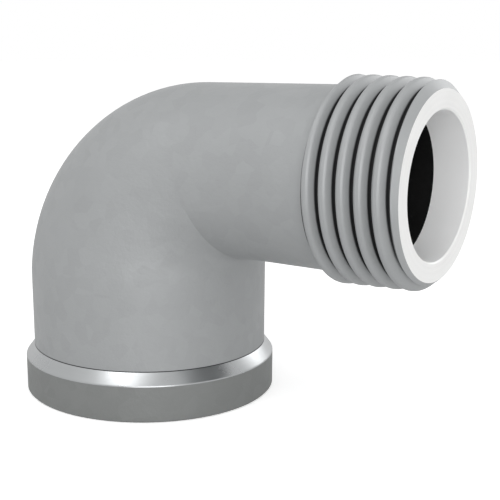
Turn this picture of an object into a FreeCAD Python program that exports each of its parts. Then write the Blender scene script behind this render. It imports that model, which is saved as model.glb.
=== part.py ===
import FreeCAD, Part
import os
import Sketcher

# A 90 degree street elbow for 1/2 in pipe, in millimetres.
# The origin is the centre of the female mouth, in the plane of the band's end face.
# The female axis is +Z, and the male axis runs along +X at the height centre_height.

SIZES = (
    ("centre_height", 27.0, "female end face to male axis"),
    ("centre_to_end", 37.1, "female axis to male end face"),
    ("band_diameter", 30.4, "outside of the band round the female end"),
    ("band_height", 4.2, "straight side of the band"),
    ("bevel_height", 1.3, "bevel between the band and the leg"),
    ("leg_diameter", 28.3, "outside of the female leg"),
    ("neck_diameter", 19.2, "outside of the neck behind the male thread"),
    ("back_radius", 23.2, "outer curve of the bend"),
    ("crotch_radius", 1.2, "inner corner of the bend"),
    ("chamber_diameter", 22.4, "cast chamber behind the female thread"),
    ("tapping_diameter", 18.26, "female end as drilled for the tap"),
    ("tapping_depth", 14.0, "female end face to the chamber"),
    ("mouth_diameter", 21.6, "countersink at the female end face"),
    ("port_diameter", 14.8, "waterway through the male end"),
    ("thread_diameter", 21.34, "crest of the male thread at its large end"),
    ("thread_length", 10.0, "male end face to the shoulder behind the thread"),
    ("shoulder_angle", 60.0, "rise from the neck to the crest, to the male axis"),
    ("taper_angle", 1.79, "taper of 1 in 16 on diameter, per side"),
    ("end_face_diameter", 18.8, "outside of the flat male end face"),
)

# The bend is lofted through circles whose planes fan out from the crotch's centre.
# Each of these angles picks the point of the back curve that one circle touches.
BACK_ANGLES = (22.5, 45, 67.5, 90)


def make_sheet(doc):
    """The driving dimensions, one row each: name, value, meaning."""
    sheet = doc.addObject("Spreadsheet::Sheet", "sizes")
    for row, (alias, value, meaning) in enumerate(SIZES, start=1):
        sheet.set(f"A{row}", alias)
        sheet.set(f"B{row}", str(value))
        sheet.set(f"C{row}", meaning)
        sheet.setAlias(f"B{row}", alias)
    doc.recompute()
    return sheet


def origin_plane(body, role):
    """One of the body's own origin planes, such as XZ_Plane."""
    for feature in body.Origin.OriginFeatures:
        if feature.Role == role:
            return feature
    raise ValueError(f"no {role} in {body.Name}")


def new_sketch(body, name, role):
    """An empty sketch on one of the body's origin planes."""
    sketch = body.newObject("Sketcher::SketchObject", name)
    sketch.AttachmentSupport = (origin_plane(body, role), [""])
    sketch.MapMode = "FlatFace"
    return sketch


def pin_point(sketch, sheet, line, across, up):
    """Ties the start of a line to two expressions, measured from the sketch's origin."""
    for kind, axis, expression in (("DistanceX", -2, across), ("DistanceY", -1, up)):
        if expression == "0":
            sketch.addConstraint(Sketcher.Constraint("PointOnObject", line, 1, axis))
            continue
        value = float(sheet.evalExpression(expression))
        index = sketch.addConstraint(Sketcher.Constraint(kind, -1, 1, line, 1, value))
        sketch.setExpression(f"Constraints[{index}]", expression)


def outline_sketch(body, sheet, name, points, height="0"):
    """A closed outline in the XZ plane, its corners given as expressions of the sheet."""
    sketch = new_sketch(body, name, "XZ_Plane")
    sketch.setExpression("AttachmentOffset.Base.y", height)
    corners = []
    for across, up in points:
        start = float(sheet.evalExpression(across))
        rise = float(sheet.evalExpression(up))
        corners.append(FreeCAD.Vector(start, rise, 0))
    count = len(corners)
    for index, corner in enumerate(corners):
        sketch.addGeometry(Part.LineSegment(corner, corners[(index + 1) % count]), False)
    for index in range(count):
        follower = (index + 1) % count
        sketch.addConstraint(Sketcher.Constraint("Coincident", index, 2, follower, 1))
    for index, (across, up) in enumerate(points):
        pin_point(sketch, sheet, index, across, up)
    return sketch


def circle_sketch(body, sheet, name, centre, radius, offset, tilt=None):
    """A circle in the XY plane, moved by offset and turned about the Y axis by tilt."""
    sketch = new_sketch(body, name, "XY_Plane")
    for axis, expression in zip("xyz", offset):
        sketch.setExpression(f"AttachmentOffset.Base.{axis}", expression)
    if tilt:
        sketch.AttachmentOffset = FreeCAD.Placement(
            FreeCAD.Vector(), FreeCAD.Rotation(FreeCAD.Vector(0, 1, 0), 1)
        )
        sketch.setExpression("AttachmentOffset.Rotation.Angle", tilt)
    start = float(sheet.evalExpression(centre))
    size = float(sheet.evalExpression(radius))
    normal = FreeCAD.Vector(0, 0, 1)
    sketch.addGeometry(Part.Circle(FreeCAD.Vector(start, 0, 0), normal, size), False)
    sketch.addConstraint(Sketcher.Constraint("PointOnObject", 0, 3, -1))
    if centre == "0":
        sketch.addConstraint(Sketcher.Constraint("PointOnObject", 0, 3, -2))
    else:
        index = sketch.addConstraint(Sketcher.Constraint("DistanceX", -1, 1, 0, 3, start))
        sketch.setExpression(f"Constraints[{index}]", centre)
    index = sketch.addConstraint(Sketcher.Constraint("Radius", 0, size))
    sketch.setExpression(f"Constraints[{index}]", radius)
    return sketch


def turned(body, kind, name, sketch, axis):
    """A full turn of an outline about one of its sketch's axes, added or cut."""
    feature = body.newObject(f"PartDesign::{kind}", name)
    feature.Profile = sketch
    feature.ReferenceAxis = (sketch, [axis])
    feature.Angle = 360
    return feature


def lofted(body, kind, name, sections, straight):
    """A skin through the sections, added or cut: straight between them, or one smooth curve."""
    feature = body.newObject(f"PartDesign::{kind}", name)
    feature.Profile = sections[0]
    feature.Sections = sections[1:]
    feature.Ruled = straight
    feature.Closed = False
    return feature


def bend_sections(body, sheet, name, start_height, leg_size, neck_size):
    """Circles round the bend. leg_size and neck_size are the diameters at its two ends."""
    crotch_x = "sizes.leg_diameter / 2 + sizes.crotch_radius"
    crotch_z = "sizes.centre_height - sizes.neck_diameter / 2 - sizes.crotch_radius"
    leg_wall = f"(sizes.leg_diameter - {leg_size}) / 2"
    neck_wall = f"(sizes.neck_diameter - {neck_size}) / 2"
    sections = [
        circle_sketch(body, sheet, f"{name}_start", "0", f"{leg_size} / 2", ("0", "0", start_height))
    ]
    for angle in BACK_ANGLES:
        reach_x = f"sizes.leg_diameter + sizes.crotch_radius - sizes.back_radius * (1 - cos({angle}))"
        reach_z = f"sizes.neck_diameter + sizes.crotch_radius - sizes.back_radius * (1 - sin({angle}))"
        reach = f"hypot({reach_x}; {reach_z})"
        wall = f"({leg_wall} + ({neck_wall} - {leg_wall}) * {angle} / 90)"
        sections.append(
            circle_sketch(
                body, sheet, f"{name}_{int(angle)}",
                f"-({reach} + sizes.crotch_radius) / 2",
                f"({reach} - sizes.crotch_radius) / 2 - {wall}",
                (crotch_x, "0", crotch_z),
                f"atan2({reach_z}; {reach_x})",
            )
        )
    sections.append(
        circle_sketch(
            body, sheet, f"{name}_end",
            "-(sizes.neck_diameter / 2 + sizes.crotch_radius)",
            f"{neck_size} / 2",
            (crotch_x, "0", crotch_z),
            "90",
        )
    )
    return sections


def add_leg(body, sheet):
    """The female leg: band, bevel and plain leg up to where the bend starts."""
    bend_start = "sizes.centre_height + sizes.neck_diameter / 2 - sizes.back_radius"
    outline = outline_sketch(body, sheet, "leg_outline", (
        ("0", "0"),
        ("sizes.band_diameter / 2", "0"),
        ("sizes.band_diameter / 2", "sizes.band_height"),
        ("sizes.leg_diameter / 2", "sizes.band_height + sizes.bevel_height"),
        ("sizes.leg_diameter / 2", bend_start),
        ("0", bend_start),
    ))
    turned(body, "Revolution", "leg", outline, "V_Axis")
    return bend_start


def add_male_end(body, sheet):
    """The neck, the tapered blank of the thread with its shoulder, and the end chamfer."""
    neck_start = "sizes.leg_diameter / 2 + sizes.crotch_radius"
    shoulder = "sizes.centre_to_end - sizes.thread_length"
    slope = "tan(sizes.taper_angle)"
    rise = "(sizes.thread_diameter - sizes.neck_diameter) / 2"
    crest_start = f"{shoulder} + {rise} * tan(90 - sizes.shoulder_angle)"
    drop = (
        f"((sizes.thread_diameter - sizes.end_face_diameter) / 2"
        f" - sizes.thread_length * {slope}) / (1 - {slope})"
    )
    chamfer_radius = f"sizes.end_face_diameter / 2 + {drop}"
    outline = outline_sketch(body, sheet, "male_outline", (
        (neck_start, "0"),
        (neck_start, "sizes.neck_diameter / 2"),
        (shoulder, "sizes.neck_diameter / 2"),
        (crest_start, f"sizes.thread_diameter / 2 - {rise} * tan(90 - sizes.shoulder_angle) * {slope}"),
        (f"sizes.centre_to_end - {drop}", chamfer_radius),
        ("sizes.centre_to_end", "sizes.end_face_diameter / 2"),
        ("sizes.centre_to_end", "0"),
    ), "sizes.centre_height")
    turned(body, "Revolution", "male_end", outline, "H_Axis")


def cut_socket(body, sheet):
    """The countersunk mouth, the tapping bore and the floor of the chamber."""
    sink = "(sizes.mouth_diameter - sizes.tapping_diameter) / 2"
    outline = outline_sketch(body, sheet, "socket_outline", (
        ("0", "0"),
        ("sizes.mouth_diameter / 2", "0"),
        ("sizes.tapping_diameter / 2", sink),
        ("sizes.tapping_diameter / 2", "sizes.tapping_depth"),
        ("0", "sizes.tapping_depth"),
    ))
    turned(body, "Groove", "socket", outline, "V_Axis")


def cut_port(body, sheet):
    """The straight waterway from the bend to the male end face."""
    neck_start = "sizes.leg_diameter / 2 + sizes.crotch_radius"
    outline = outline_sketch(body, sheet, "port_outline", (
        (neck_start, "0"),
        (neck_start, "sizes.port_diameter / 2"),
        ("sizes.centre_to_end", "sizes.port_diameter / 2"),
        ("sizes.centre_to_end", "0"),
    ), "sizes.centre_height")
    turned(body, "Groove", "port", outline, "H_Axis")


def check(doc, body):
    """Stops if any object failed or the casting isn't one valid solid."""
    for item in doc.Objects:
        for word in ("Invalid", "Error"):
            if word in item.State:
                raise RuntimeError(f"{item.Label} is {item.State}")
    shape = body.Shape
    if shape.isNull() or not shape.isValid() or len(shape.Solids) != 1:
        raise RuntimeError(f"{body.Label} isn't one valid solid")


def build():
    doc = FreeCAD.newDocument("street_elbow")
    sheet = make_sheet(doc)
    body = doc.addObject("PartDesign::Body", "street_elbow")
    body.Label = "street_elbow"
    bend_start = add_leg(body, sheet)
    doc.recompute()
    outside = bend_sections(body, sheet, "outside", bend_start, "sizes.leg_diameter", "sizes.neck_diameter")
    lofted(body, "AdditiveLoft", "bend", outside, False)
    doc.recompute()
    add_male_end(body, sheet)
    doc.recompute()
    cut_socket(body, sheet)
    inside = bend_sections(
        body, sheet, "inside", "sizes.tapping_depth", "sizes.chamber_diameter", "sizes.port_diameter"
    )
    lofted(body, "SubtractiveLoft", "chamber", inside, True)
    doc.recompute()
    cut_port(body, sheet)
    doc.recompute()
    check(doc, body)
    print("volume", round(body.Shape.Volume, 2))
    os.makedirs("parts", exist_ok=True)
    body.Shape.exportStep(f"parts/{body.Label}.step")


build()
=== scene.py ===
import math

import bmesh
import bpy
from bpy.props import FloatProperty, FloatVectorProperty, PointerProperty
from mathutils import Matrix, Vector


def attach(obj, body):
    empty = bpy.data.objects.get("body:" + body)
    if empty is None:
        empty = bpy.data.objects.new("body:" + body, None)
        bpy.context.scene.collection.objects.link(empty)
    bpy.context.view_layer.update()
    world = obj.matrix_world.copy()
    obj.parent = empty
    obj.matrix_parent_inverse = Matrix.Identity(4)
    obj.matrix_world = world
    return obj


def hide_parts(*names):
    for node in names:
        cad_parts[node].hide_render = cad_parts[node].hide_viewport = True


bl_info = {
    "name": "Street elbow",
    "version": (1, 0, 0),
    "blender": (4, 5, 0),
    "location": "3D View > Sidebar > Elbow",
    "description": "Dresses a half inch street elbow: threads, turned ends and galvanised skin",
    "category": "Object",
}

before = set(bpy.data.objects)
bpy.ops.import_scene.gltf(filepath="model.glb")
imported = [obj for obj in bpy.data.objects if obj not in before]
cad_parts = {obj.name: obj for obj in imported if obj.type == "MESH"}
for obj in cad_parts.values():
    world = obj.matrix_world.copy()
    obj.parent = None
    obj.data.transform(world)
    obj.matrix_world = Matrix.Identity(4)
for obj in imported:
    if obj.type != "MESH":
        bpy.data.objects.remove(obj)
CAD_NODE = "street_elbow"

# The finishes of the casting, in the order of its material slots.
SKIN, BAND, BEVEL, THREAD, FACE, BORE, CAVITY, TAPPING = range(8)

# Steps in one turn of a thread, and so about the points round each section: 0.5 mm apart on the band.
ROUND = 192

# The pipe thread's taper of 1 in 16 on diameter, and the shoulder behind it: sideways for each step along.
TAPER = math.tan(math.radians(1.79))
SHOULDER_RISE = math.tan(math.radians(60))

# Faces that meet at more degrees than this get a hard edge. The rounded crests turn by 15 degrees a face.
HARD_EDGE = 16.5

# The direction of the photograph's camera from the elbow, in degrees. Azimuth 0 is towards -Y, 90 towards +X.
PHOTO_AZIMUTH = 36.22
PHOTO_ELEVATION = 13.09

# The colours that the casting's finishes use.
FINISH_COLOURS = ("skin", "band", "bevel", "thread", "groove", "face", "bore", "cavity")


def mm(value):
    """Millimetres to metres."""
    return value / 1000


def linear(code):
    """An sRGB hex colour as linear red, green and blue."""
    shares = [int(code[i:i + 2], 16) / 255 for i in (0, 2, 4)]
    return tuple(x / 12.92 if x <= 0.04045 else ((x + 0.055) / 1.055) ** 2.4 for x in shares)


def length(name, value, description):
    """A size of the elbow, given in millimetres."""
    return FloatProperty(
        name=name, description=description, default=mm(value), min=0.0, unit="LENGTH", subtype="DISTANCE",
        precision=5,
    )


def colour(name, code, description):
    """A colour of a finish, given as an sRGB hex value."""
    return FloatVectorProperty(
        name=name, description=description, default=linear(code), min=0.0, max=1.0, size=3, subtype="COLOR"
    )


class ElbowSizes(bpy.types.PropertyGroup):
    """The sizes of the elbow"""

    centre_height: length("Centre height", 27.0, "Female end face to the male axis")
    centre_to_end: length("Centre to end", 37.1, "Female axis to the male end face")
    band_radius: length("Band radius", 15.2, "Outside of the band round the female end")
    band_height: length("Band height", 4.2, "Straight side of the band")
    bevel_height: length("Bevel height", 1.3, "Bevel between the band and the leg")
    leg_radius: length("Leg radius", 14.15, "Outside of the female leg")
    neck_radius: length("Neck radius", 9.6, "Outside of the neck behind the male thread")
    back_radius: length("Back radius", 23.2, "Outer curve of the bend")
    crotch_radius: length("Crotch radius", 1.2, "Inner corner of the bend")
    chamber_radius: length("Chamber radius", 11.2, "Cast chamber behind the female thread")
    tapping_radius: length("Tapping radius", 9.13, "Crests of the female thread")
    tapping_depth: length("Tapping depth", 14.0, "Female end face to the chamber")
    mouth_radius: length("Mouth radius", 10.8, "Countersink at the female end face")
    port_radius: length("Port radius", 7.4, "Waterway through the male end")
    reamed_length: length("Reamed length", 4.0, "Bright machined part of the waterway")
    thread_radius: length("Thread radius", 10.67, "Crest of the male thread at its large end")
    thread_length: length("Thread length", 10.0, "Male end face to the shoulder")
    end_face_radius: length("End face radius", 9.4, "Outside of the flat male end face")
    pitch: length("Thread pitch", 1.814, "14 threads an inch")
    male_depth: length("Male thread depth", 0.94, "Crest to root outside")
    female_depth: length("Female thread depth", 1.0, "Crest to root inside, at the mouth")
    root_width: length("Root width", 0.16, "Flat at the bottom of a groove")
    crest_round: length("Crest rounding", 0.4, "Radius of the worn crests")
    edge_break: length("Edge break", 0.15, "Small chamfer on the machined edges")


class ElbowColours(bpy.types.PropertyGroup):
    """The colours of the finishes"""

    skin: colour("Galvanised skin", "A1A3A4", "Zinc on the cast body")
    # Painted darker than the skin, as shade on the band's side.
    band: colour("Band side", "828483", "Zinc on the side of the band")
    bevel: colour("Turned bevel", "A8AAAB", "Bare bevel above the band")
    thread: colour("Cut thread", "A4A6A7", "Crests and flanks of the male thread")
    # Painted shade in the thread roots, and in the inner corners at the leg's foot and at the shoulder.
    groove: colour("Thread root", "1A1B1C", "Oil and dirt at the bottom of the grooves")
    face: colour("End face", "F6F6F5", "Faced male end")
    bore: colour("Reamed bore", "FAFBFB", "Machined start of the waterway")
    # Painted near black, as shade deep in the waterway.
    cavity: colour("Cast inside", "141414", "Unworked inside of the casting")
    floor: colour("Floor", "F4F4F4", "Pale floor")


def shoulder_of(sizes):
    """Where the male thread starts, along X."""
    return sizes.centre_to_end - sizes.thread_length


def section(centre, tilt, radius):
    """The matrix that takes a unit circle in the XY plane to one round section of the elbow."""
    size = Matrix.Diagonal((radius, radius, radius, 1))
    return Matrix.Translation(centre) @ Matrix.Rotation(tilt, 4, "Y") @ size


def upright(height, radius):
    """A section across the female leg."""
    return section((0, 0, height), 0, radius)


def level(sizes, along, radius):
    """A section across the male leg."""
    return section((along, 0, sizes.centre_height), math.radians(90), radius)


def bend_section(sizes, degrees, wall):
    """A section of the bend. Its plane passes through the crotch's centre, and it touches the back curve."""
    corner = sizes.crotch_radius
    arc = math.radians(degrees)
    crotch = Vector((sizes.leg_radius + corner, 0, sizes.centre_height - sizes.neck_radius - corner))
    across = 2 * sizes.leg_radius + corner - sizes.back_radius * (1 - math.cos(arc))
    up = 2 * sizes.neck_radius + corner - sizes.back_radius * (1 - math.sin(arc))
    reach = math.hypot(across, up)
    tilt = math.atan2(up, across)
    centre = crotch + (reach + corner) / 2 * Vector((-math.cos(tilt), 0, math.sin(tilt)))
    return section(centre, tilt, (reach - corner) / 2 - wall)


def grow(bm, rim, old, new, finish):
    """Extrudes an open rim from one section to the next, and returns the new rim."""
    made = bmesh.ops.extrude_edge_only(bm, edges=rim)["geom"]
    verts = {part for part in made if isinstance(part, bmesh.types.BMVert)}
    bmesh.ops.transform(bm, matrix=new @ old.inverted(), verts=list(verts))
    for part in made:
        if isinstance(part, bmesh.types.BMFace):
            part.material_index = finish
    return [
        part for part in made
        if isinstance(part, bmesh.types.BMEdge) and part.is_boundary and verts.issuperset(part.verts)
    ]


def grow_all(bm, rim, old, steps):
    """Extrudes a rim through a list of sections and finishes."""
    for new, finish in steps:
        rim = grow(bm, rim, old, new, finish)
        old = new
    return rim


def open_rim(faces, test):
    """The open edges of these faces whose ends pass a test."""
    edges = {edge for face in faces for edge in face.edges if edge.is_boundary}
    return [edge for edge in edges if all(test(vert.co) for vert in edge.verts)]


def bridge(bm, one, other, finish):
    """Closes the gap between two rims."""
    for face in bmesh.ops.bridge_loops(bm, edges=one + other)["faces"]:
        face.material_index = finish


def ridge(sizes, depth):
    """One pitch of a thread, from root to root, as pairs of way along the axis and depth below the crest."""
    flank = math.radians(30)
    round_off = sizes.crest_round
    edge = sizes.root_width / 2
    corner = edge + depth * math.tan(flank)
    middle = corner + round_off * math.tan(flank)
    if middle > sizes.pitch / 2:
        raise RuntimeError("the thread is too deep for its pitch")
    half = [(0, depth), (edge, depth)]
    for degrees in (60, 45, 30, 15, 0):
        turn = math.radians(degrees)
        half.append((middle - round_off * math.sin(turn), round_off * (1 - math.cos(turn))))
    half.insert(2, tuple((a + b) / 2 for a, b in zip(half[1], half[2])))
    return half + [(sizes.pitch - along, down) for along, down in reversed(half[:-1])]


def thread_sleeve(sizes, depth, crest, inwards, start, end, cuts, shape):
    """A tube with a right-hand thread about the Z axis, cut off square at both ends.

    cuts are extra rings where shape, which moves each point, needs them."""
    side = -1 if inwards else 1
    bm = bmesh.new()
    points = ridge(sizes, depth)
    low = start - 2 * sizes.pitch
    count = math.ceil((end - low) / sizes.pitch) + 1
    column = []
    for turn in range(count):
        for along, down in points[:-1]:
            column.append(bm.verts.new((0, -(crest - side * down), low + turn * sizes.pitch + along)))
    for one, other in zip(column, column[1:]):
        bm.edges.new((one, other))
    bmesh.ops.spin(
        bm, geom=bm.verts[:] + bm.edges[:], cent=(0, 0, 0), axis=(0, 0, 1), dvec=(0, 0, sizes.pitch / ROUND),
        angle=2 * math.pi, steps=ROUND, use_merge=False,
    )
    bmesh.ops.remove_doubles(bm, verts=bm.verts[:], dist=mm(0.01))
    for height in [start, end] + cuts:
        bmesh.ops.bisect_plane(
            bm, geom=bm.verts[:] + bm.edges[:] + bm.faces[:], dist=mm(0.0005), plane_co=(0, 0, height),
            plane_no=(0, 0, 1), clear_inner=height == start, clear_outer=height == end,
        )
    for vert in bm.verts:
        radius = math.hypot(vert.co.x, vert.co.y)
        wanted = shape(radius, vert.co.z)
        vert.co.x *= wanted / radius
        vert.co.y *= wanted / radius
    return bm


def pour(bm, part, place, finish):
    """Adds a second mesh to the first, in its place, and returns its faces."""
    bmesh.ops.transform(part, matrix=place, verts=part.verts[:])
    mesh = bpy.data.meshes.new("part")
    part.to_mesh(mesh)
    part.free()
    before = len(bm.faces)
    bm.from_mesh(mesh)
    bpy.data.meshes.remove(mesh)
    bm.faces.ensure_lookup_table()
    faces = bm.faces[before:]
    for face in faces:
        face.material_index = finish
    return faces


def steps_between(low, high, count):
    """Evenly spaced values between two others, without them."""
    return [low + (high - low) * i / count for i in range(1, count)]


def male_sleeve(sizes):
    """The male thread on its tapered blank, with its shoulder and its end chamfer, along Z."""
    shoulder = shoulder_of(sizes)
    drop = (sizes.thread_radius - sizes.end_face_radius - sizes.thread_length * TAPER) / (1 - TAPER)

    def shape(radius, along):
        tapered = radius - TAPER * (along - shoulder)
        rise = sizes.neck_radius + max(0, along - shoulder) * SHOULDER_RISE
        chamfer = sizes.end_face_radius + sizes.centre_to_end - along
        return min(tapered, rise, chamfer)

    rise_length = (sizes.thread_radius - sizes.neck_radius) / SHOULDER_RISE
    cuts = steps_between(shoulder, shoulder + rise_length, 6)
    cuts += steps_between(sizes.centre_to_end - drop, sizes.centre_to_end, 9)
    return thread_sleeve(
        sizes, sizes.male_depth, sizes.thread_radius, False, shoulder, sizes.centre_to_end, cuts, shape
    )


def female_sleeve(sizes):
    """The female thread with its countersink, along Z. It gets shallower inwards, because its roots taper."""

    def shape(radius, along):
        share = 1 - along * TAPER / sizes.female_depth
        threaded = sizes.tapping_radius + (radius - sizes.tapping_radius) * share
        return max(threaded, sizes.mouth_radius - along)

    sink = sizes.mouth_radius - sizes.tapping_radius
    cuts = steps_between(0, sink, 12)
    return thread_sleeve(
        sizes, sizes.female_depth, sizes.tapping_radius, True, 0.0, sizes.tapping_depth, cuts, shape
    )


def outside_steps(sizes):
    """The sections of the outside, from the female end face to the neck."""
    edge = sizes.edge_break
    top = sizes.band_height
    leg_start = top + sizes.bevel_height
    bend_start = sizes.centre_height + sizes.neck_radius - sizes.back_radius
    steps = [
        (upright(0, sizes.band_radius - edge), FACE),
        (upright(edge, sizes.band_radius), BAND),
        (upright(top - edge / 2, sizes.band_radius), BAND),
        (upright(top + edge / 3, sizes.band_radius - edge / 3), BEVEL),
        (upright(leg_start - edge / 3, sizes.leg_radius + edge / 3), BEVEL),
        (upright(leg_start, sizes.leg_radius), BEVEL),
        (upright(leg_start + edge, sizes.leg_radius), SKIN),
    ]
    steps += [(upright(h, sizes.leg_radius), SKIN) for h in steps_between(leg_start + edge, bend_start, 4)]
    steps.append((upright(bend_start, sizes.leg_radius), SKIN))
    steps += [(bend_section(sizes, 90 * i / 32, 0), SKIN) for i in range(1, 33)]
    neck_start = sizes.leg_radius + sizes.crotch_radius
    shoulder = shoulder_of(sizes)
    for along in steps_between(neck_start, shoulder, 5):
        steps.append((level(sizes, along, sizes.neck_radius), SKIN))
    steps.append((level(sizes, shoulder - mm(0.1), sizes.neck_radius), SKIN))
    return steps


def inside_steps(sizes):
    """The sections from the male end face through the waterway to the floor of the chamber."""
    end = sizes.centre_to_end
    edge = sizes.edge_break
    port = sizes.port_radius
    leg_wall = sizes.leg_radius - sizes.chamber_radius
    neck_wall = sizes.neck_radius - port
    reamed_end = end - sizes.reamed_length
    neck_start = sizes.leg_radius + sizes.crotch_radius
    steps = [
        (level(sizes, end, port + edge), FACE),
        (level(sizes, end - edge, port), FACE),
        (level(sizes, reamed_end, port), BORE),
    ]
    steps += [(level(sizes, x, port), CAVITY) for x in steps_between(reamed_end, neck_start, 6)]
    for i in range(24, 2, -1):
        share = i / 24
        steps.append((bend_section(sizes, 90 * share, leg_wall + (neck_wall - leg_wall) * share), CAVITY))
    steps.append((upright(sizes.tapping_depth + sizes.edge_break, sizes.chamber_radius), CAVITY))
    return steps


def build_casting(sizes):
    """The whole elbow as one closed shell."""
    bm = bmesh.new()
    near = mm(0.001)  # how close to a plane the points of a rim in it lie
    female = pour(bm, female_sleeve(sizes), Matrix.Identity(4), TAPPING)
    mouth_rim = open_rim(female, lambda co: abs(co.z) < near)
    floor_rim = open_rim(female, lambda co: abs(co.z - sizes.tapping_depth) < near)
    neck_rim = grow_all(bm, mouth_rim, upright(0, sizes.mouth_radius), outside_steps(sizes))

    shoulder = shoulder_of(sizes)
    male = pour(bm, male_sleeve(sizes), section((0, 0, sizes.centre_height), math.radians(90), 1), THREAD)
    bridge(bm, neck_rim, open_rim(male, lambda co: abs(co.x - shoulder) < near), SKIN)

    end_rim = open_rim(male, lambda co: abs(co.x - sizes.centre_to_end) < near)
    end_section = level(sizes, sizes.centre_to_end, sizes.end_face_radius)
    chamber_rim = grow_all(bm, end_rim, end_section, inside_steps(sizes))

    bridge(bm, chamber_rim, floor_rim, CAVITY)
    bmesh.ops.recalc_face_normals(bm, faces=bm.faces[:])
    if not all(edge.is_manifold and edge.is_contiguous for edge in bm.edges):
        raise RuntimeError("the casting's shell isn't closed, or its faces disagree")
    return bm


def mark_grooves(bm, sizes):
    """Writes how deep each point of the threads lies, from 0 at the crest to 1 at the root.

    The inner corners at the leg's foot and at the shoulder get painted shade too, so they count as a root."""
    layer = bm.verts.layers.float.new("groove")
    shoulder = shoulder_of(sizes)
    threads = {vert for face in bm.faces if face.material_index in (THREAD, TAPPING) for vert in face.verts}
    for vert in bm.verts:
        # These inner corners get painted shade, like a thread's root.
        in_corner = abs(vert.co.x - shoulder) < mm(0.05) or (
            abs(vert.co.z - sizes.band_height - sizes.bevel_height) < mm(0.01)
            and abs(math.hypot(vert.co.x, vert.co.y) - sizes.leg_radius) < mm(0.01)
        )
        if in_corner:
            vert[layer] = 1
    for vert in threads:
        if abs(vert.co.x - shoulder) < mm(0.05):
            continue
        if vert.co.x > shoulder:
            radius = math.hypot(vert.co.y, vert.co.z - sizes.centre_height)
            crest = sizes.thread_radius - TAPER * (vert.co.x - shoulder)
            chamfer = sizes.end_face_radius + sizes.centre_to_end - vert.co.x
            down = min(crest, chamfer) - radius
            vert[layer] = min(1, max(0, down / sizes.male_depth))
        else:
            radius = math.hypot(vert.co.x, vert.co.y)
            crest = max(sizes.tapping_radius, sizes.mouth_radius - vert.co.z)
            vert[layer] = min(1, max(0, (radius - crest) / sizes.female_depth))


def smooth_shading(bm):
    """Smooth faces, with hard edges where two faces meet at a sharp angle."""
    for face in bm.faces:
        face.smooth = True
    for edge in bm.edges:
        edge.smooth = len(edge.link_faces) != 2 or edge.calc_face_angle() < math.radians(HARD_EDGE)


def add_node(tree, kind, inputs=None, **settings):
    """Adds a node with its settings. Each input is a value, or a socket to link."""
    node = tree.nodes.new(kind)
    for name, value in settings.items():
        setattr(node, name, value)
    for key, value in (inputs or {}).items():
        if isinstance(value, bpy.types.NodeSocket):
            tree.links.new(value, node.inputs[key])
        else:
            node.inputs[key].default_value = value
    return node


def new_material(name):
    """A material with an empty node tree, its output and its shader."""
    material = bpy.data.materials.new(name)
    material.use_nodes = True
    tree = material.node_tree
    tree.nodes.clear()
    shader = add_node(tree, "ShaderNodeBsdfPrincipled")
    add_node(tree, "ShaderNodeOutputMaterial", {"Surface": shader.outputs[0]})
    return material, tree, shader


def place_of(tree):
    """The place on the piece, in metres."""
    return add_node(tree, "ShaderNodeTexCoord").outputs["Object"]


def shade(rgb, factor):
    """A darker or lighter version of a colour, with full alpha."""
    return tuple(min(1, x * factor) for x in rgb) + (1,)


def painted_root_shade(tree, clean, root_shade_rgb, low, high):
    """Darkens a colour with painted shade where the groove value lies between low and high. Returns the colour
    and the share.
    """
    down = add_node(tree, "ShaderNodeAttribute", attribute_name="groove").outputs["Fac"]
    root_shade_share = add_node(
        tree, "ShaderNodeMapRange", {"Value": down, "From Min": low, "From Max": high},
        interpolation_type="SMOOTHSTEP",
    )
    mixed = add_node(
        tree, "ShaderNodeMix", {"Factor": root_shade_share.outputs[0], "A": clean, "B": root_shade_rgb + (1,)}, data_type="RGBA"
    )
    return mixed.outputs[2], root_shade_share.outputs[0]


def galvanised(name, rgb, root_shade_rgb, metallic, spangle, grain, shine=0.5):
    """Hot-dip galvanised sand-cast iron: dull zinc with faint crystals over the grain of the sand.

    The crystals are 1.6 mm wide and the zinc's unevenness 9 mm, as on small fittings. The sand's grain of
    0.25 mm is drawn at 0.45 mm, because it is too fine to show."""
    material, tree, shader = new_material(name)
    place = place_of(tree)
    crystals = add_node(
        tree, "ShaderNodeTexVoronoi", {"Vector": place, "Scale": 1 / mm(1.6), "Randomness": 1.0}, feature="F1"
    )
    cloud = add_node(
        tree, "ShaderNodeTexNoise", {"Vector": place, "Scale": 1 / mm(9.0), "Detail": 4.0, "Roughness": 0.55}
    )
    sand = add_node(
        tree, "ShaderNodeTexNoise", {"Vector": place, "Scale": 1 / mm(0.45), "Detail": 3.0, "Roughness": 0.6}
    )
    tint = add_node(
        tree, "ShaderNodeMix", {"Factor": spangle, "A": cloud.outputs[0], "B": crystals.outputs["Color"]},
        data_type="FLOAT",
    )
    spread = add_node(
        tree, "ShaderNodeMapRange",
        {"Value": tint.outputs[0], "From Min": 0.25, "From Max": 0.75, "To Min": 0.0, "To Max": 1.0},
    )
    base = add_node(
        tree, "ShaderNodeMix", {"Factor": spread.outputs[0], "A": shade(rgb, 0.965), "B": shade(rgb, 1.035)},
        data_type="RGBA",
    )
    gloss = add_node(
        tree, "ShaderNodeMapRange",
        {"Value": spread.outputs[0], "From Min": 0.0, "From Max": 1.0, "To Min": 0.6, "To Max": 0.5},
    )
    bump = add_node(
        tree, "ShaderNodeBump", {"Strength": 0.5, "Distance": grain, "Height": sand.outputs[0]}
    )
    # Painted shade darkens the colour in the thread roots and in the inner corners.
    tree.links.new(painted_root_shade(tree, base.outputs[2], root_shade_rgb, 0.2, 0.8)[0], shader.inputs["Base Color"])
    tree.links.new(gloss.outputs[0], shader.inputs["Roughness"])
    tree.links.new(bump.outputs[0], shader.inputs["Normal"])
    shader.inputs["Metallic"].default_value = metallic
    shader.inputs["Specular IOR Level"].default_value = shine
    return material


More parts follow.
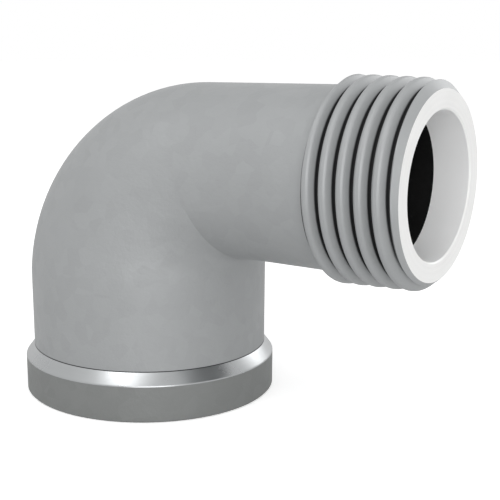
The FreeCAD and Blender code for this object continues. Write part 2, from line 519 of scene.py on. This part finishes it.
def turned(name, rgb, root_shade_rgb, metallic, roughness, mark, about_z, centre_height):
    """Metal cut on a lathe: bright, with fine rings left by the tool.

    mark is the width of a ring, drawn coarser than the tool's feed of 0.15 mm, which is too fine to show."""
    material, tree, shader = new_material(name)
    place = place_of(tree)
    parts = add_node(tree, "ShaderNodeSeparateXYZ", {"Vector": place})
    if about_z:
        across = add_node(tree, "ShaderNodeCombineXYZ", {"X": parts.outputs["X"], "Y": parts.outputs["Y"]})
    else:
        lifted = add_node(
            tree, "ShaderNodeMath", {0: parts.outputs["Z"], 1: centre_height}, operation="SUBTRACT"
        )
        across = add_node(tree, "ShaderNodeCombineXYZ", {"X": parts.outputs["Y"], "Y": lifted.outputs[0]})
    radius = add_node(tree, "ShaderNodeVectorMath", {0: across.outputs[0]}, operation="LENGTH")
    rings = add_node(
        tree, "ShaderNodeTexNoise", {"W": radius.outputs["Value"], "Scale": 1 / mark, "Detail": 2.0},
        noise_dimensions="1D",
    )
    cloud = add_node(
        tree, "ShaderNodeTexNoise", {"Vector": place, "Scale": 1 / mm(4.0), "Detail": 3.0, "Roughness": 0.5}
    )
    tint = add_node(
        tree, "ShaderNodeMix", {"Factor": 0.5, "A": rings.outputs[0], "B": cloud.outputs[0]}, data_type="FLOAT"
    )
    base = add_node(
        tree, "ShaderNodeMix", {"Factor": tint.outputs[0], "A": shade(rgb, 0.93), "B": shade(rgb, 1.06)},
        data_type="RGBA",
    )
    gloss = add_node(
        tree, "ShaderNodeMapRange",
        {"Value": cloud.outputs[0], "From Min": 0.3, "From Max": 0.7, "To Min": roughness * 0.85,
         "To Max": roughness * 1.2},
    )
    bump = add_node(
        tree, "ShaderNodeBump", {"Strength": 0.25, "Distance": mm(0.02), "Height": rings.outputs[0]}
    )
    # Painted shade darkens the colour in the thread roots and in the inner corners.
    tree.links.new(painted_root_shade(tree, base.outputs[2], root_shade_rgb, 0.2, 0.8)[0], shader.inputs["Base Color"])
    tree.links.new(gloss.outputs[0], shader.inputs["Roughness"])
    tree.links.new(bump.outputs[0], shader.inputs["Normal"])
    shader.inputs["Metallic"].default_value = metallic
    return material


def cut_thread(name, rgb, root_shade_rgb, metallic, dark_from, dark_to):
    """A thread cut with a die or a tap: fine tool marks, and painted shade at the bottom of the grooves.

    The marks of 0.1 mm are drawn at 0.3 mm, because they are too fine to show. dark_from and dark_to are
    the depths, from 0 at the crest to 1 at the root, between which the painted shade thickens."""
    material, tree, shader = new_material(name)
    place = place_of(tree)
    cloud = add_node(
        tree, "ShaderNodeTexNoise", {"Vector": place, "Scale": 1 / mm(2.5), "Detail": 4.0, "Roughness": 0.6}
    )
    wear = add_node(
        tree, "ShaderNodeMix", {"Factor": cloud.outputs[0], "A": shade(rgb, 0.94), "B": shade(rgb, 1.05)},
        data_type="RGBA",
    )
    # Painted shade darkens the colour towards the roots, which are also rougher.
    base, root_shade_share = painted_root_shade(tree, wear.outputs[2], root_shade_rgb, dark_from, dark_to)
    gloss = add_node(tree, "ShaderNodeMapRange", {"Value": root_shade_share, "To Min": 0.5, "To Max": 0.8})
    marks = add_node(
        tree, "ShaderNodeTexNoise", {"Vector": place, "Scale": 1 / mm(0.3), "Detail": 2.0}
    )
    bump = add_node(
        tree, "ShaderNodeBump", {"Strength": 0.2, "Distance": mm(0.03), "Height": marks.outputs[0]}
    )
    tree.links.new(base, shader.inputs["Base Color"])
    tree.links.new(gloss.outputs[0], shader.inputs["Roughness"])
    tree.links.new(bump.outputs[0], shader.inputs["Normal"])
    shader.inputs["Metallic"].default_value = metallic
    return material


def finishes(sizes, colours):
    """The casting's materials, in the order of its slots."""
    axis = sizes.centre_height
    tone = {name: tuple(getattr(colours, name)) for name in FINISH_COLOURS}
    return [
        # Zinc on a sand casting: an even, dull grey that spreads a lamp's light over the whole bend.
        # The band's side has the same zinc, painted darker as shade.
        galvanised("galvanised_cast_skin", tone["skin"], tone["groove"], 0.35, 0.35, mm(0.08)),
        galvanised("galvanised_band_side", tone["band"], tone["groove"], 0.35, 0.35, mm(0.08)),
        # Zinc turned bare on a lathe: a mirror-like ring, white where it faces a lamp and dark beside it.
        turned("turned_zinc_bevel", tone["bevel"], tone["groove"], 1.0, 0.3, mm(0.25), True, axis),
        # Iron cut with a die: satin crests with a painted dark line of shade between them.
        cut_thread("die_cut_thread", tone["thread"], tone["groove"], 0.35, 0.68, 0.86),
        # Iron faced on a lathe: the palest part, almost white, with a faint sheen.
        turned("faced_iron_end", tone["face"], tone["groove"], 0.15, 0.45, mm(0.3), False, axis),
        # Iron reamed smooth: pale and matt, so the mouth of the waterway reads as light.
        turned("reamed_iron_bore", tone["bore"], tone["groove"], 0.0, 0.5, mm(0.3), False, axis),
        # Unworked iron inside, painted nearly black as shade and without shine, so the waterway reads as deep.
        galvanised("cast_iron_inside", tone["cavity"], tone["groove"], 0.0, 0.2, mm(0.1), 0.2),
        # Iron cut with a tap: the male thread's grey, a little darker, with painted shade from half way down.
        cut_thread("tap_cut_thread", shade(tone["thread"], 0.9)[:3], tone["groove"], 0.35, 0.5, 1.0),
    ]


class OBJECT_OT_elbow_casting(bpy.types.Operator):
    """Builds the threaded elbow casting in place of the plain solid"""

    bl_idname = "object.elbow_casting"
    bl_label = "Elbow casting"

    def execute(self, context):
        sizes = context.scene.elbow_sizes
        bm = build_casting(sizes)
        mark_grooves(bm, sizes)
        smooth_shading(bm)
        mesh = bpy.data.meshes.new("elbow_casting")
        bm.to_mesh(mesh)
        bm.free()
        for material in finishes(sizes, context.scene.elbow_colours):
            mesh.materials.append(material)
        casting = bpy.data.objects.new("elbow_casting", mesh)
        context.scene.collection.objects.link(casting)
        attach(casting, "root")
        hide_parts(CAD_NODE)
        return {"FINISHED"}


def add_lamp(name, place, target, size, power):
    """A square soft lamp that faces a point."""
    lamp = bpy.data.lights.new(name, "AREA")
    lamp.shape = "SQUARE"
    lamp.size = size
    lamp.energy = power
    holder = bpy.data.objects.new(name, lamp)
    holder.location = place
    holder.rotation_euler = (target - Vector(place)).to_track_quat("-Z", "Y").to_euler()
    bpy.context.scene.collection.objects.link(holder)


def direction(azimuth, elevation):
    """From the elbow outwards. Azimuth 0 is towards -Y and 90 towards +X."""
    turn = math.radians(azimuth)
    lift = math.radians(elevation)
    return Vector((math.sin(turn) * math.cos(lift), -math.cos(turn) * math.cos(lift), math.sin(lift)))


class SCENE_OT_elbow_stage(bpy.types.Operator):
    """Sets up the floor, the soft lamps, the surroundings and the camera"""

    bl_idname = "scene.elbow_stage"
    bl_label = "Elbow stage"

    def execute(self, context):
        scene = context.scene
        scene.view_settings.view_transform = "Standard"
        self.make_floor(scene)
        self.make_world(scene)
        middle = Vector((mm(10), 0, mm(16)))
        # Each lamp: turn from the camera to its right, height in degrees, width and watts.
        for name, turn, height, size, power in (
            ("key", -38, 62, mm(220), 0.45),
            ("right", 132, 24, mm(150), 0.3),
            ("fill", 4, 12, mm(320), 0.8),
        ):
            place = middle + mm(500) * direction(PHOTO_AZIMUTH + turn, height)
            add_lamp(name, place, middle, size, power)
        self.make_camera(scene)
        return {"FINISHED"}

    def make_floor(self, scene):
        bm = bmesh.new()
        bmesh.ops.create_grid(bm, x_segments=2, y_segments=2, size=20)
        # A hair below the elbow, so that the two don't share a plane.
        bmesh.ops.translate(bm, vec=(0, 0, -mm(0.05)), verts=bm.verts[:])
        mesh = bpy.data.meshes.new("floor")
        bm.to_mesh(mesh)
        bm.free()
        material, tree, shader = new_material("matt_paper_floor")
        place = place_of(tree)
        fibre = add_node(tree, "ShaderNodeTexNoise", {"Vector": place, "Scale": 1 / mm(30), "Detail": 2.0})
        rgb = tuple(scene.elbow_colours.floor)
        tint = add_node(
            tree, "ShaderNodeMix", {"Factor": fibre.outputs[0], "A": shade(rgb, 0.995), "B": shade(rgb, 1.005)},
            data_type="RGBA",
        )
        tree.links.new(tint.outputs[2], shader.inputs["Base Color"])
        shader.inputs["Roughness"].default_value = 0.9
        shader.inputs["Specular IOR Level"].default_value = 0.0
        # The camera sees the floor as white as the world behind it. The elbow gets none of this light.
        ray = add_node(tree, "ShaderNodeLightPath")
        shader.inputs["Emission Color"].default_value = (1, 1, 1, 1)
        lift = add_node(
            tree, "ShaderNodeMath", {0: ray.outputs["Is Camera Ray"], 1: 0.46}, operation="MULTIPLY"
        )
        tree.links.new(lift.outputs[0], shader.inputs["Emission Strength"])
        mesh.materials.append(material)
        floor = bpy.data.objects.new("floor", mesh)
        scene.collection.objects.link(floor)

    def make_world(self, scene):
        world = bpy.data.worlds.new("soft_room")
        world.use_nodes = True
        tree = world.node_tree
        tree.nodes.clear()
        # The camera and the bright metal see a white room, and its light on the elbow is weaker.
        ray = add_node(tree, "ShaderNodeLightPath")
        seen = add_node(
            tree, "ShaderNodeMath", {0: ray.outputs["Is Camera Ray"], 1: ray.outputs["Is Glossy Ray"]},
            operation="MAXIMUM",
        )
        strength = add_node(
            tree, "ShaderNodeMapRange", {"Value": seen.outputs[0], "To Min": 0.64, "To Max": 1.0}
        )
        back = add_node(
            tree, "ShaderNodeBackground", {"Color": (1, 1, 1, 1), "Strength": strength.outputs[0]}
        )
        add_node(tree, "ShaderNodeOutputWorld", {"Surface": back.outputs[0]})
        scene.world = world

    def make_camera(self, scene):
        lens = bpy.data.cameras.new("camera")
        lens.lens = 68.0
        lens.sensor_width = 36
        lens.shift_x = 0.0696
        lens.shift_y = 0.0606
        lens.clip_start = mm(5)
        lens.clip_end = 100
        camera = bpy.data.objects.new("camera", lens)
        back = direction(PHOTO_AZIMUTH, PHOTO_ELEVATION)
        camera.location = Vector((mm(10), 0, mm(14))) + mm(110) * back
        camera.rotation_euler = (-back).to_track_quat("-Z", "Y").to_euler()
        scene.collection.objects.link(camera)
        scene.camera = camera


class VIEW3D_PT_elbow(bpy.types.Panel):
    """Lists the elbow's steps, sizes and colours"""

    bl_label = "Street elbow"
    bl_space_type = "VIEW_3D"
    bl_region_type = "UI"
    bl_category = "Elbow"

    def draw(self, context):
        column = self.layout.column()
        for operator in OPERATORS:
            column.operator(operator.bl_idname)
        for group in (context.scene.elbow_sizes, context.scene.elbow_colours):
            box = self.layout.box()
            for name in group.bl_rna.properties.keys():
                if name not in ("rna_type", "name"):
                    box.prop(group, name)


OPERATORS = (OBJECT_OT_elbow_casting, SCENE_OT_elbow_stage)
CLASSES = (ElbowSizes, ElbowColours) + OPERATORS + (VIEW3D_PT_elbow,)


def register():
    for item in CLASSES:
        bpy.utils.register_class(item)
    bpy.types.Scene.elbow_sizes = PointerProperty(type=ElbowSizes)
    bpy.types.Scene.elbow_colours = PointerProperty(type=ElbowColours)


def unregister():
    del bpy.types.Scene.elbow_colours
    del bpy.types.Scene.elbow_sizes
    for item in reversed(CLASSES):
        bpy.utils.unregister_class(item)


def main():
    """Registers the add-on, then builds the piece and the stage."""
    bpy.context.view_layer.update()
    register()
    bpy.ops.object.elbow_casting()
    bpy.ops.scene.elbow_stage()


if __name__ == "__main__":
    main()
